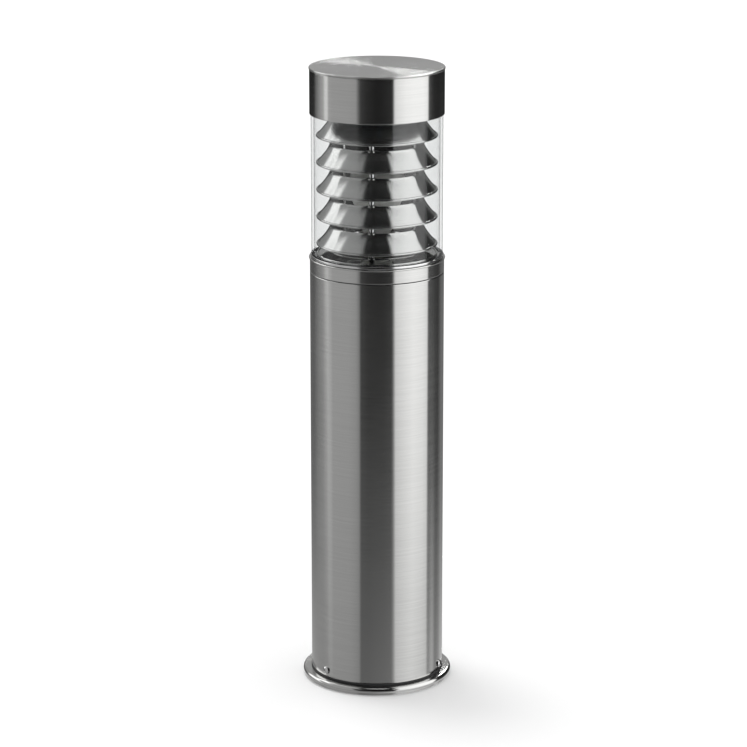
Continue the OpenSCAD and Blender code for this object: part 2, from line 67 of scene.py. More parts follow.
class Slot(Enum):
    """The record's material slots."""

    COLUMN_STEEL = "column_steel"
    LOUVRE_STEEL = "louvre_steel"
    POLISHED_STEEL = "polished_steel"
    CLEAR_COVER = "clear_cover"
    CAST_ALUMINIUM = "cast_aluminium"
    ZINC_STEEL = "zinc_steel"
    BRASS = "brass"
    BLACK_RUBBER = "black_rubber"
    PORCELAIN = "porcelain"
    TERMINAL_PLASTIC = "terminal_plastic"
    WIRE_BROWN = "wire_brown"
    WIRE_BLUE = "wire_blue"
    WIRE_GREEN = "wire_green"
    OPAL_GLASS = "opal_glass"
    LAMP_PLASTIC = "lamp_plastic"


class Body(Enum):
    """The bodies that pieces ride on."""

    POST = "post"
    LAMP = "lamp"
    HEAD = "head"
    COLLAR = "locking_collar"


# ---------- shader maths ----------


@dataclass(frozen=True)
class Value:
    """A number's socket that takes part in Python arithmetic."""

    graph: "Graph"
    socket: bpy.types.NodeSocket

    def math(self, operation: str, *others: Any) -> "Value":
        """Adds a Math node that starts from this value.

        Args:
            operation: The Math node's operation.
            others: The numbers or values that follow, in socket order.

        Returns:
            The node's result.
        """
        return self.graph.math(operation, self, *others)

    def __add__(self, other: Any) -> "Value":
        """Adds a number or value."""
        return self.math("ADD", other)

    def __radd__(self, other: Any) -> "Value":
        """Adds this to a number."""
        return self.graph.math("ADD", other, self)

    def __sub__(self, other: Any) -> "Value":
        """Takes a number or value away."""
        return self.math("SUBTRACT", other)

    def __rsub__(self, other: Any) -> "Value":
        """Takes this from a number."""
        return self.graph.math("SUBTRACT", other, self)

    def __mul__(self, other: Any) -> "Value":
        """Multiplies by a number or value."""
        return self.math("MULTIPLY", other)

    def __rmul__(self, other: Any) -> "Value":
        """Multiplies a number by this."""
        return self.graph.math("MULTIPLY", other, self)

    def __truediv__(self, other: Any) -> "Value":
        """Divides by a number or value."""
        return self.math("DIVIDE", other)

    def __pow__(self, other: Any) -> "Value":
        """Raises to a power."""
        return self.math("POWER", other)

    def ramp(self, low: float, high: float) -> "Value":
        """Goes smoothly from 0 to 1 between two levels.

        Args:
            low: The level that gives 0.
            high: The level that gives 1.

        Returns:
            The eased value.
        """
        node = self.graph.add(
            "ShaderNodeMapRange",
            {"interpolation_type": "SMOOTHSTEP"},
            {"Value": self, "From Min": low, "From Max": high},
        )
        return self.graph.value(node)

    def window(self, rise: float, full: float, fall: float, end: float) -> "Value":
        """Goes smoothly from 0 to 1 and back.

        Args:
            rise: The level where it leaves 0.
            full: The level where it reaches 1.
            fall: The level where it leaves 1.
            end: The level where it is 0 again.

        Returns:
            The eased value.
        """
        return self.ramp(rise, full) * (1.0 - self.ramp(fall, end))


class Graph:
    """Makes the nodes of one material or world."""

    def __init__(self, tree: bpy.types.NodeTree) -> None:
        """Empties the tree and keeps it.

        Args:
            tree: The node tree to fill.
        """
        self.tree = tree
        tree.nodes.clear()

    def add(
        self,
        kind: str,
        settings: Mapping[str, Any] | None = None,
        sockets: Mapping[str | int, Any] | None = None,
    ) -> bpy.types.Node:
        """Adds a node, sets it, then fills its sockets.

        Args:
            kind: The node's type.
            settings: Its properties. "stops" gives a colour ramp's (place, colour) pairs.
            sockets: Values, or sockets to link, by input name or number.

        Returns:
            The node.
        """
        node = self.tree.nodes.new(kind)
        for name, setting in (settings or {}).items():
            if name == "stops":
                self._set_stops(node.color_ramp, setting)
            else:
                setattr(node, name, setting)
        for name, content in (sockets or {}).items():
            if isinstance(content, Value):
                content = content.socket
            if isinstance(content, bpy.types.NodeSocket):
                self.tree.links.new(content, node.inputs[name])
            else:
                node.inputs[name].default_value = content
        return node

    @staticmethod
    def _set_stops(ramp: bpy.types.ColorRamp, stops: Sequence[tuple[float, tuple]]) -> None:
        """Gives a ramp its stops.

        Args:
            ramp: The colour ramp.
            stops: The (place, colour) pairs, from left to right.
        """
        while len(ramp.elements) < len(stops):
            ramp.elements.new(0.5)
        for element, (place, colour) in zip(ramp.elements, stops):
            element.position = place
            element.color = colour

    def value(self, node: bpy.types.Node, output: str | int = 0) -> Value:
        """Wraps a node's output for arithmetic.

        Args:
            node: The node.
            output: The output's name or number.

        Returns:
            The wrapped socket.
        """
        return Value(self, node.outputs[output])

    def math(self, operation: str, *operands: Any) -> Value:
        """Adds a Math node.

        Args:
            operation: The Math node's operation.
            operands: The numbers or values, in socket order.

        Returns:
            The node's result.
        """
        return self.value(
            self.add("ShaderNodeMath", {"operation": operation}, dict(enumerate(operands)))
        )

    def mix(self, factor: Any, first: Any, second: Any) -> bpy.types.NodeSocket:
        """Mixes two colours.

        Args:
            factor: 0 gives the first colour and 1 the second.
            first: A colour or a colour socket.
            second: A colour or a colour socket.

        Returns:
            The mixed colour's socket.
        """
        node = self.add("ShaderNodeMix", {"data_type": "RGBA"}, {0: factor, 6: first, 7: second})
        return node.outputs[2]

    def position(self) -> tuple[bpy.types.NodeSocket, Value, Value, Value]:
        """The place on the piece in its own coordinates, in metres.

        Returns:
            The vector's socket, then its three parts.
        """
        place = self.add("ShaderNodeTexCoord").outputs["Object"]
        parts = self.add("ShaderNodeSeparateXYZ", None, {0: place})
        return place, self.value(parts, 0), self.value(parts, 1), self.value(parts, 2)

    def noise(self, vector: Any, scale: float, detail: float = 2.0, rough: float = 0.5) -> Value:
        """Adds a noise pattern.

        Args:
            vector: Where the pattern is read.
            scale: How fine it is.
            detail: How many finer layers it has.
            rough: How strong the finer layers are.

        Returns:
            The pattern, from 0 to 1 about a middle of 0.5.
        """
        node = self.add(
            "ShaderNodeTexNoise",
            None,
            {"Vector": vector, "Scale": scale, "Detail": detail, "Roughness": rough},
        )
        return self.value(node, 0)

    def relief(self, height: Value, strength: float, depth: float) -> bpy.types.NodeSocket:
        """Turns a pattern into surface relief.

        Args:
            height: The pattern.
            strength: How much of it shows, from 0 to 1.
            depth: Its full depth in metres.

        Returns:
            The relief's normal.
        """
        node = self.add(
            "ShaderNodeBump", None, {"Strength": strength, "Distance": depth, "Height": height}
        )
        return node.outputs[0]

    def surface(self, shader: bpy.types.NodeSocket) -> None:
        """Makes a shader the material's surface.

        Args:
            shader: The shader's output.
        """
        self.add("ShaderNodeOutputMaterial", None, {"Surface": shader})


# ---------- finishes ----------


def shade(colour: Sequence[float], factor: float) -> tuple[float, float, float, float]:
    """Lightens or darkens a colour.

    Args:
        colour: Red, green and blue.
        factor: What to multiply them by.

    Returns:
        The colour with an alpha of 1.
    """
    return tuple(min(1.0, part * factor) for part in colour) + (1.0,)


@dataclass(frozen=True)
class Finish(ABC):
    """A surface finish that can be put on a piece."""

    colour: tuple[float, float, float]

    def material(self, name: str) -> bpy.types.Material:
        """Makes the finish's material.

        Args:
            name: The material's name.

        Returns:
            The material.
        """
        material = bpy.data.materials.new(name)
        material.use_nodes = True
        self.dress(Graph(material.node_tree))
        return material

    @abstractmethod
    def dress(self, graph: Graph) -> None:
        """Adds the finish's nodes."""


@dataclass(frozen=True)
class BrushedSteel(Finish):
    """Stainless steel, brushed in fine lines round the post's axis."""

    roughness: float = 0.13
    stretch: float = 0.88
    grain: float = 1300.0
    contrast: float = 0.06
    # How dark the painted shade on faces that look towards the axis is; 1 paints none.
    inside_painted_shade: float = 1.0
    run_scale: float = 14.0
    relief_depth: float = 0.000008

    def dress(self, graph: Graph) -> None:
        """Adds the brushed lines to the tone, the gloss and the relief, and painted shade to the
        faces that look towards the axis.
        """
        place, x, y, z = graph.position()
        run = (x * x + y * y) ** 0.5 - z
        lines_at = graph.add(
            "ShaderNodeCombineXYZ",
            None,
            {0: x * self.run_scale, 1: y * self.run_scale, 2: run * self.grain},
        )
        lines = graph.noise(lines_at.outputs[0], 1.0, 3.0, 0.7)
        cloud = graph.noise(place, 16.0, 2.0)
        tone = lines * 0.75 + cloud * 0.25
        outer = graph.mix(
            tone.ramp(0.25, 0.75),
            shade(self.colour, 1 - self.contrast),
            shade(self.colour, 1 + self.contrast),
        )
        # Painted shade: faces that look towards the axis get a darker base colour.
        painted_shade_side = graph.add("ShaderNodeAttribute", {"attribute_name": INWARD}).outputs["Fac"]
        shader = graph.add(
            "ShaderNodeBsdfPrincipled",
            None,
            {
                "Base Color": graph.mix(painted_shade_side, outer, shade(self.colour, self.inside_painted_shade)),
                "Metallic": 1.0,
                "Roughness": self.roughness + (lines - 0.5) * 0.1 + (cloud - 0.5) * 0.04,
                "Anisotropic": self.stretch,
                "Anisotropic Rotation": 0.25,
                "Normal": graph.relief(lines, 0.2, self.relief_depth),
            },
        )
        graph.surface(shader.outputs[0])


@dataclass(frozen=True)
class PlainMetal(Finish):
    """Metal with a cloudy tone and an even, fine tooth."""

    roughness: float = 0.3
    second: tuple[float, float, float] | None = None
    cloud_scale: float = 60.0
    tooth_scale: float = 1500.0
    tooth_depth: float = 0.00003

    def dress(self, graph: Graph) -> None:
        """Adds the clouds to the tone and gloss, and the tooth to the relief."""
        place = graph.position()[0]
        cloud = graph.noise(place, self.cloud_scale, 3.0)
        tooth = graph.noise(place, self.tooth_scale, 2.0, 0.6)
        shader = graph.add(
            "ShaderNodeBsdfPrincipled",
            None,
            {
                "Base Color": graph.mix(
                    cloud.ramp(0.35, 0.65),
                    shade(self.colour, 0.93),
                    shade(self.second or self.colour, 1.05),
                ),
                "Metallic": 1.0,
                "Roughness": self.roughness + (cloud - 0.5) * 0.12 + (tooth - 0.5) * 0.06,
                "Normal": graph.relief(tooth, 0.35, self.tooth_depth),
            },
        )
        graph.surface(shader.outputs[0])


@dataclass(frozen=True)
class Moulded(Finish):
    """Rubber, plastic, glaze or opal glass: a coloured body with a fine skin."""

    roughness: float = 0.4
    coat: float = 0.0
    skin_scale: float = 1800.0
    skin_depth: float = 0.00003
    mottle: float = 0.05

    def tint(self, graph: Graph, place: bpy.types.NodeSocket) -> bpy.types.NodeSocket:
        """The body's colour, slightly uneven.

        Args:
            graph: The material's graph.
            place: The place on the piece.

        Returns:
            The colour's socket.
        """
        cloud = graph.noise(place, 45.0, 3.0)
        return graph.mix(
            cloud.ramp(0.3, 0.7),
            shade(self.colour, 1 - self.mottle),
            shade(self.colour, 1 + self.mottle),
        )

    def dress(self, graph: Graph) -> None:
        """Adds the skin to the gloss and relief."""
        place = graph.position()[0]
        skin = graph.noise(place, self.skin_scale, 2.0, 0.6)
        shader = graph.add(
            "ShaderNodeBsdfPrincipled",
            None,
            {
                "Base Color": self.tint(graph, place),
                "Roughness": self.roughness + (skin - 0.5) * 0.12,
                "Coat Weight": self.coat,
                "Coat Roughness": 0.06,
                "Normal": graph.relief(skin, 0.3, self.skin_depth),
            },
        )
        graph.surface(shader.outputs[0])


@dataclass(frozen=True)
class EarthSheath(Moulded):
    """Green wire insulation with a yellow stripe that winds round it."""

    stripe: tuple[float, float, float] = (0.78, 0.6, 0.05)
    winding: float = 420.0
    pitch: float = 900.0

    def tint(self, graph: Graph, place: bpy.types.NodeSocket) -> bpy.types.NodeSocket:
        """Green with the stripe.

        Args:
            graph: The material's graph.
            place: The place on the piece.

        Returns:
            The colour's socket.
        """
        parts = graph.add("ShaderNodeSeparateXYZ", None, {0: place})
        across, along, height = (graph.value(parts, n) for n in range(3))
        wave = ((across + along) * self.pitch + height * self.winding).math("SINE")
        return graph.mix(wave.ramp(0.2, 0.35), shade(self.colour, 1.0), shade(self.stripe, 1.0))


@dataclass(frozen=True)
class ClearCover(Finish):
    """Clear polished plastic that mirrors most at a grazing angle."""

    straight_on: float = 0.04
    grazing: float = 0.9
    sharpness: float = 10.0
    roughness: float = 0.03

    def dress(self, graph: Graph) -> None:
        """Mixes seeing through with mirroring, by the angle of sight."""
        place = graph.position()[0]
        facing = graph.value(graph.add("ShaderNodeLayerWeight", None, {"Blend": 0.5}), "Facing")
        haze = graph.noise(place, 30.0, 2.0)
        through = graph.add("ShaderNodeBsdfTransparent", None, {"Color": shade(self.colour, 1.0)})
        mirror = graph.add(
            "ShaderNodeBsdfGlossy",
            None,
            {"Color": (1.0, 1.0, 1.0, 1.0), "Roughness": self.roughness + (haze - 0.5) * 0.02},
        )
        blend = graph.add(
            "ShaderNodeMixShader",
            None,
            {
                0: self.straight_on + (facing**self.sharpness) * self.grazing,
                1: through.outputs[0],
                2: mirror.outputs[0],
            },
        )
        graph.surface(blend.outputs[0])


FINISHES: dict[Slot, Finish] = {
    Slot.COLUMN_STEEL: BrushedSteel((0.62, 0.62, 0.61)),
    # The louvre steel's faces that look towards the axis get painted shade, a tenth of its colour.
    Slot.LOUVRE_STEEL: BrushedSteel(
        (0.66, 0.66, 0.65), roughness=0.15, stretch=0.9, grain=1500.0, inside_painted_shade=0.1
    ),
    Slot.POLISHED_STEEL: PlainMetal((0.75, 0.75, 0.75), roughness=0.12, tooth_depth=0.00001),
    Slot.CLEAR_COVER: ClearCover((0.943, 0.947, 0.947)),
    Slot.CAST_ALUMINIUM: PlainMetal(
        (0.55, 0.56, 0.57), roughness=0.48, tooth_scale=700.0, tooth_depth=0.0002
    ),
    Slot.ZINC_STEEL: PlainMetal((0.6, 0.6, 0.58), roughness=0.34, second=(0.56, 0.6, 0.66)),
    Slot.BRASS: PlainMetal((0.75, 0.56, 0.24), roughness=0.24, second=(0.8, 0.62, 0.3)),
    Slot.BLACK_RUBBER: Moulded((0.022, 0.022, 0.023), roughness=0.55, mottle=0.15),
    Slot.PORCELAIN: Moulded(
        (0.86, 0.85, 0.8), roughness=0.3, coat=0.8, skin_scale=500.0, mottle=0.02
    ),
    Slot.TERMINAL_PLASTIC: Moulded((0.8, 0.79, 0.73), roughness=0.45, mottle=0.03),
    Slot.WIRE_BROWN: Moulded((0.19, 0.08, 0.035), roughness=0.38),
    Slot.WIRE_BLUE: Moulded((0.03, 0.12, 0.45), roughness=0.38),
    Slot.WIRE_GREEN: EarthSheath((0.08, 0.34, 0.05), roughness=0.38),
    Slot.OPAL_GLASS: Moulded((0.74, 0.74, 0.71), roughness=0.28, coat=0.3, mottle=0.015),
    Slot.LAMP_PLASTIC: Moulded((0.84, 0.84, 0.82), roughness=0.35, mottle=0.02),
}


class FinishStore:
    """Keeps one material for each slot."""

    def __init__(self) -> None:
        """Starts empty."""
        self.made: dict[Slot, bpy.types.Material] = {}

    def get(self, slot: Slot) -> bpy.types.Material:
        """The slot's material, made on first use.

        Args:
            slot: The record's slot.

        Returns:
            The material.
        """
        if slot not in self.made:
            self.made[slot] = FINISHES[slot].material(f"finish_{slot.value}")
        return self.made[slot]


STORE = FinishStore()


# ---------- making pieces ----------


@dataclass(frozen=True)
class Corner:
    """A corner of a turned section, in millimetres from the axis and the ground."""

    r: float
    z: float
    soft: float = 0.0


@dataclass(frozen=True)
class Span:
    """The outer radius and the heights of a round CAD node, in millimetres."""

    radius: float
    low: float
    high: float

    @classmethod
    def of(cls, node: str) -> "Span":
        """Reads a node's span.

        Args:
            node: The CAD node's name.

        Returns:
            Its span.
        """
        low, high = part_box(node)
        return cls(max(high.x, high.y, -low.x, -low.y) / MM, low.z / MM, high.z / MM)

    @property
    def height(self) -> float:
        """From its lowest to its highest point."""
        return self.high - self.low


class Lathe:
    """Turns sections about an upright axis and gathers them into one mesh."""

    def __init__(self, x: float = 0.0, y: float = 0.0, steps: int = TURN_STEPS) -> None:
        """Sets up an empty mesh.

        Args:
            x: The axis's place, in millimetres.
            y: The axis's place, in millimetres.
            steps: How many steps a full turn has.
        """
        self.mesh = bmesh.new()
        self.axis = Vector((x * MM, y * MM, 0.0))
        self.steps = steps

    def move_axis(self, x: float, y: float) -> "Lathe":
        """Moves the axis for the sections that follow.

        Args:
            x: The axis's place, in millimetres.
            y: The axis's place, in millimetres.

        Returns:
            This lathe.
        """
        self.axis = Vector((x * MM, y * MM, 0.0))
        return self

    def _points(self, part: bmesh.types.BMesh, corners: Iterable[Corner]) -> list:
        """Puts a section's corners in a mesh.

        Args:
            part: The mesh.
            corners: The corners.

        Returns:
            The new vertices.
        """
        return [
            part.verts.new(self.axis + Vector((corner.r * MM, 0.0, corner.z * MM)))
            for corner in corners
        ]

    def _hold_ends(self, part: bmesh.types.BMesh) -> None:
        """Splits long straight edges near both ends, so that shading stays flat between them."""
        for edge in list(part.edges):
            length = edge.calc_length()
            if length < 8 * HOLD * MM:
                continue
            start, end = edge.verts
            _, near = bmesh.utils.edge_split(edge, start, HOLD * MM / length)
            rest = next(e for e in near.link_edges if end in e.verts)
            bmesh.utils.edge_split(rest, end, HOLD * MM / rest.calc_length())

    def _turn(self, part: bmesh.types.BMesh, thickness: float = 0.0) -> None:
        """Turns a section, gives it a wall and adds it to the piece.

        Args:
            part: The section's mesh, which is freed.
            thickness: The wall's thickness in millimetres, or 0 for a closed section.
        """
        bmesh.ops.spin(
            part,
            geom=part.verts[:] + part.edges[:],
            cent=self.axis,
            axis=(0.0, 0.0, 1.0),
            angle=math.tau,
            steps=self.steps,
            use_merge=True,
        )
        bmesh.ops.remove_doubles(part, verts=part.verts[:], dist=0.001 * MM)
        bmesh.ops.dissolve_degenerate(part, edges=part.edges[:], dist=0.0005 * MM)
        bmesh.ops.recalc_face_normals(part, faces=part.faces[:])
        if thickness:
            bmesh.ops.solidify(part, geom=part.faces[:], thickness=thickness * MM)
        self.take(part)

    def take(self, part: bmesh.types.BMesh) -> "Lathe":
        """Adds another mesh to the piece and frees it.

        Args:
            part: The mesh to add.

        Returns:
            This lathe.
        """
        carrier = bpy.data.meshes.new("carrier")
        part.to_mesh(carrier)
        part.free()
        self.mesh.from_mesh(carrier)
        bpy.data.meshes.remove(carrier)
        return self

    def solid(self, *corners: Corner) -> "Lathe":
        """Turns a closed section whose corners may be rounded.

        Args:
            corners: The section's corners in order.

        Returns:
            This lathe.
        """
        part = bmesh.new()
        points = self._points(part, corners)
        part.faces.new(points)
        for point, corner in zip(points, corners):
            if corner.soft:
                bmesh.ops.bevel(
                    part,
                    geom=[point],
                    affect="VERTICES",
                    offset=corner.soft * MM,
                    offset_type="OFFSET",
                    segments=SOFT_SEGMENTS,
                    profile=0.5,
                    material=-1,
                )
        bmesh.ops.delete(part, geom=part.faces[:], context="FACES_ONLY")
        on_axis = [
            edge
            for edge in part.edges
            if all((point.co - self.axis).xy.length < ON_AXIS for point in edge.verts)
        ]
        bmesh.ops.delete(part, geom=on_axis, context="EDGES")
        self._hold_ends(part)
        self._turn(part)
        return self

    def sheet(self, line: Sequence[Corner], thickness: float) -> "Lathe":
        """Turns an open line and thickens it inwards.

        Args:
            line: The outer line's points in order.
            thickness: The sheet's thickness in millimetres.

        Returns:
            This lathe.
        """
        part = bmesh.new()
        points = self._points(part, line)
        for first, second in zip(points, points[1:]):
            part.edges.new((first, second))
        self._hold_ends(part)
        self._turn(part, thickness)
        return self

    def bead(self, r: float, z: float, radius: float) -> "Lathe":
        """Turns a round bead.

        Args:
            r: The bead's distance from the axis, in millimetres.
            z: The bead's height, in millimetres.
            radius: The bead's own radius, in millimetres.

        Returns:
            This lathe.
        """
        part = bmesh.new()
        place = Matrix.Translation(self.axis + Vector((r * MM, 0.0, z * MM)))
        bmesh.ops.create_circle(
            part,
            cap_ends=False,
            radius=radius * MM,
            segments=BEAD_SEGMENTS,
            matrix=place @ Matrix.Rotation(math.pi / 2, 4, "X"),
        )
        self._turn(part)
        return self

    def mark_inner_side(self) -> None:
        """Marks the faces that look towards the post's axis, where brushed steel gets painted
        shade.
        """
        self.mesh.normal_update()
        layer = self.mesh.faces.layers.float.new(INWARD)
        for face in self.mesh.faces:
            outwards = face.calc_center_median().xy.normalized()
            face[layer] = float(face.normal.xy.dot(outwards) < INWARD_LIMIT)

    def piece(self, name: str, body: Body, slot: Slot, *nodes: str) -> bpy.types.Object:
        """Finishes the mesh as a piece that stands for CAD nodes.

        Args:
            name: The piece's name.
            body: The body it rides on.
            slot: The slot of its finish.
            nodes: The CAD nodes it replaces.

        Returns:
            The piece.
        """
        mesh = bpy.data.meshes.new(name)
        self.mark_inner_side()
        self.mesh.to_mesh(mesh)
        self.mesh.free()
        mesh.polygons.foreach_set("use_smooth", [True] * len(mesh.polygons))
        mesh.set_sharp_from_angle(angle=SHARP_ANGLE)
        mesh.materials.append(STORE.get(slot))
        piece = bpy.data.objects.new(name, mesh)
        bpy.context.scene.collection.objects.link(piece)
        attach(piece, body.value)
        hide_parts(*nodes)
        log.info("%s: %d faces, rides on %s", name, len(mesh.polygons), body.value)
        return piece


def around(angle: float, radius: float) -> tuple[float, float]:
    """A place at an angle from the front.

    Args:
        angle: Degrees from the front, towards the right.
        radius: Millimetres from the axis.

    Returns:
        The place in millimetres.
    """
    turn = math.radians(angle)
    return radius * math.sin(turn), -radius * math.cos(turn)


class Assembly(ABC):
    """A group of pieces that are made together."""

    @abstractmethod
    def build(self) -> None:
        """Makes and dresses the group's pieces."""


# ---------- the object ----------


@dataclass
class Base(Assembly):
    """The flange on the ground and the seal under the column."""

    bore_r: float = 63.2
    rim: float = 2.9
    foot_inset: float = 2.5
    foot_top: float = 2.83
    seal_in_r: float = 68.3
    seal_soft: float = 0.45

    def build(self) -> None:
        """Makes the rolled flange and the seal."""
        self.build_flange()
        self.build_seal()

    def build_flange(self) -> None:
        """Turns the flange with its rolled rim over a smaller foot."""
        span = Span.of("base_flange")
        foot_r = span.radius - self.foot_inset
        Lathe().solid(
            Corner(self.bore_r, span.low, 0.4),
            Corner(foot_r, span.low, 0.5),
            Corner(foot_r, self.foot_top),
            Corner(span.radius, self.foot_top, self.foot_inset - 0.05),
            Corner(span.radius, span.high, self.rim),
            Corner(self.bore_r, span.high, 0.4),
        ).piece("rolled_flange", Body.POST, Slot.COLUMN_STEEL, "base_flange")

    def build_seal(self) -> None:
        """Turns the rubber ring between the flange and the column."""
        span = Span.of("tube_seal")
        Lathe().solid(
            Corner(self.seal_in_r, span.low),
            Corner(span.radius, span.low, self.seal_soft),
            Corner(span.radius, span.high, self.seal_soft),
            Corner(self.seal_in_r, span.high),
        ).piece("foot_seal", Body.POST, Slot.BLACK_RUBBER, "tube_seal")


@dataclass
class Column(Assembly):
    """The brushed column and the thin seal on its top end."""

    bore_r: float = 68.5
    edge: float = 0.6
    seam_in_r: float = 67.3

    def build(self) -> None:
        """Makes the column and its seam seal."""
        span = Span.of("column_tube")
        Lathe().solid(
            Corner(self.bore_r, span.low),
            Corner(span.radius, span.low, self.edge),
            Corner(span.radius, span.high, self.edge),
            Corner(self.bore_r, span.high),
        ).piece("brushed_column", Body.POST, Slot.COLUMN_STEEL, "column_tube")
        seam = Span.of("seam_seal")
        Lathe().solid(
            Corner(self.seam_in_r, seam.low),
            Corner(seam.radius, seam.low),
            Corner(seam.radius, seam.high, 0.12),
            Corner(self.seam_in_r, seam.high),
        ).piece("seam_ring", Body.POST, Slot.BLACK_RUBBER, "seam_seal")


@dataclass
class Collar(Assembly):
    """The locking collar with its proud top bead."""

    wall_r: float = 70.0
    inner_r: float = 67.6
    lip_in_r: float = 66.2
    lip_h: float = 2.4
    bead_h: float = 1.5

    def build(self) -> None:
        """Turns the collar."""
        span = Span.of("locking_collar")
        under_bead = span.high - self.bead_h
        Lathe().solid(
            Corner(self.inner_r, span.low, 0.2),
            Corner(self.wall_r, span.low, 0.45),
            Corner(self.wall_r, under_bead, 0.15),
            Corner(span.radius, under_bead, 0.6),
            Corner(span.radius, span.high, 0.7),
            Corner(self.lip_in_r, span.high, 0.5),
            Corner(self.lip_in_r, span.high - self.lip_h, 0.2),
            Corner(self.inner_r, span.high - self.lip_h),
        ).piece("turned_collar", Body.COLLAR, Slot.COLUMN_STEEL, "locking_collar")


@dataclass
class ClearChamber(Assembly):
    """The bright seat ring and the clear tube that stands in it."""

    seat_in_r: float = 60.0
    seat_t: float = 1.5
    seat_bead: float = 0.9
    glass_in_r: float = 65.4
    glass_edge: float = 0.5

    def build(self) -> None:
        """Makes the seat ring and the clear tube."""
        seat = Span.of("glass_seat")
        shelf = seat.low + self.seat_t
        Lathe().solid(
            Corner(self.seat_in_r, seat.low, 0.2),
            Corner(seat.radius, seat.low, 0.3),
            Corner(seat.radius, seat.high, 0.42),
            Corner(seat.radius - self.seat_bead, seat.high, 0.42),
            Corner(seat.radius - self.seat_bead, shelf),
            Corner(self.seat_in_r, shelf, 0.3),
        ).piece("bright_seat_ring", Body.HEAD, Slot.POLISHED_STEEL, "glass_seat")
        glass = Span.of("clear_tube")
        Lathe().solid(
            Corner(self.glass_in_r, glass.low, self.glass_edge),
            Corner(glass.radius, glass.low, self.glass_edge),
            Corner(glass.radius, glass.high, self.glass_edge),
            Corner(self.glass_in_r, glass.high, self.glass_edge),
        ).piece("clear_cylinder", Body.HEAD, Slot.CLEAR_COVER, "clear_tube")


@dataclass
class LouvreStack(Assembly):
    """The spun louvres, the dish under them and the tie rods' spacers."""

    neck_r: float = 49.0
    lip_r: float = 1.3
    sheet_t: float = 1.2
    flare_steps: int = 20
    rod_pcr: float = 44.5
    rod_r: float = 2.0
    spacer_r: float = 3.0
    spacer_end: float = 0.45
    tab_w: float = 11.0
    rod_angles: tuple[float, ...] = (-7.0, 113.0, 233.0)
    louvres: tuple[str, ...] = tuple(f"louvre_{n}" for n in range(1, 6))

    def build(self) -> None:
        """Makes every louvre, the dish and the spacers."""
        for node in self.louvres:
            self.build_louvre(node)
        self.build_dish()
        self.build_spacers()

    def build_louvre(self, node: str) -> None:
        """Spins one louvre: a straight neck, a flare and a rolled lip.

        Args:
            node: The CAD node it stands for.
        """
        span = Span.of(node)
        flare = self.curve(
            (self.neck_r, span.low + 20.0),
            (self.neck_r + 2.5, span.low + 13.2),
            (self.neck_r + 8.2, span.low + 7.2),
            (span.radius - 1.15 * self.lip_r, span.low + 1.6 * self.lip_r),
        )
        self.spin(span, [Corner(self.neck_r, span.high), *flare]).piece(
            f"spun_{node}", Body.HEAD, Slot.LOUVRE_STEEL, node
        )

    def build_dish(self) -> None:
        """Spins the shallow dish under the lowest louvre."""
        span = Span.of("base_reflector")
        rise = span.height - 1.0
        flare = self.curve(
            (self.neck_r, span.low + rise),
            (self.neck_r + 2.3, span.low + rise * 0.62),
            (self.neck_r + 7.0, span.low + rise * 0.55),
            (span.radius - 1.2 * self.lip_r, span.low + 1.4 * self.lip_r),
        )
        self.spin(span, [Corner(self.neck_r, span.high), *flare]).piece(
            "spun_dish", Body.HEAD, Slot.LOUVRE_STEEL, "base_reflector"
        )

    def curve(self, *points: tuple[float, float]) -> list[Corner]:
        """A smooth line from the neck to the rim.

        Args:
            points: The start, its handle, the end's handle and the end, as (radius, height).

        Returns:
            The line's corners.
        """
        knots = [Vector((r, z, 0.0)) for r, z in points]
        return [Corner(p.x, p.y) for p in interpolate_bezier(*knots, self.flare_steps)]

    def spin(self, span: Span, line: list[Corner]) -> Lathe:
        """Turns a louvre's sheet and lip, and adds its drilled tabs.

        Args:
            span: The louvre's radius and heights.
            line: Its outer line, from the neck's top to the rim.

        Returns:
            The lathe with the louvre's mesh.
        """
        lathe = Lathe().sheet(line, self.sheet_t)
        lathe.bead(span.radius - self.lip_r, span.low + self.lip_r, self.lip_r)
        lathe.steps = SMALL_TURN_STEPS
        top, under = span.high, span.high - self.sheet_t
        for angle in self.rod_angles:
            lathe.move_axis(*around(angle, self.rod_pcr)).solid(
                Corner(self.rod_r + 0.2, under),
                Corner(self.tab_w / 2, under),
                Corner(self.tab_w / 2, top),
                Corner(self.rod_r + 0.2, top),
            )
            lathe.take(self.tongue(angle, under))
        return lathe

    def tongue(self, angle: float, under: float) -> bmesh.types.BMesh:
        """The flat plate that joins a drilled tab to the louvre's neck.

        Args:
            angle: The tie rod's angle in degrees.
            under: The plate's underside, in millimetres.

        Returns:
            The plate's mesh.
        """
        plate = bmesh.new()
        bmesh.ops.create_cube(plate, size=1.0)
        reach = self.neck_r - self.rod_r - 0.4 - self.rod_pcr
        middle = (self.neck_r + self.rod_pcr + self.rod_r) / 2
        size = Vector((self.tab_w, reach, self.sheet_t)) * MM
        bmesh.ops.scale(plate, vec=size, verts=plate.verts[:])
        bmesh.ops.translate(
            plate,
            vec=(0.0, -middle * MM, (under + self.sheet_t / 2) * MM),
            verts=plate.verts[:],
        )
        turn = Matrix.Rotation(math.radians(angle), 3, "Z")
        bmesh.ops.rotate(plate, cent=(0, 0, 0), matrix=turn, verts=plate.verts[:])
        return plate

    def build_spacers(self) -> None:
        """Turns the polished spacer tubes between the tabs on every tie rod."""
        whole = Span.of("rod_spacers")
        stops = [Span.of("base_reflector").high]
        stops += sorted(Span.of(node).high for node in self.louvres)
        lathe = Lathe(steps=SMALL_TURN_STEPS)
        lows = [whole.low, *stops]
        highs = [stop - self.sheet_t for stop in stops] + [whole.high]
        for angle in self.rod_angles:
            lathe.move_axis(*around(angle, self.rod_pcr))
            for low, high in zip(lows, highs):
                lathe.solid(
                    Corner(self.rod_r + 0.1, low),
                    Corner(self.spacer_r, low, self.spacer_end),
                    Corner(self.spacer_r, high, self.spacer_end),
                    Corner(self.rod_r + 0.1, high),
                )
        lathe.piece("bright_spacers", Body.HEAD, Slot.POLISHED_STEEL, "rod_spacers")


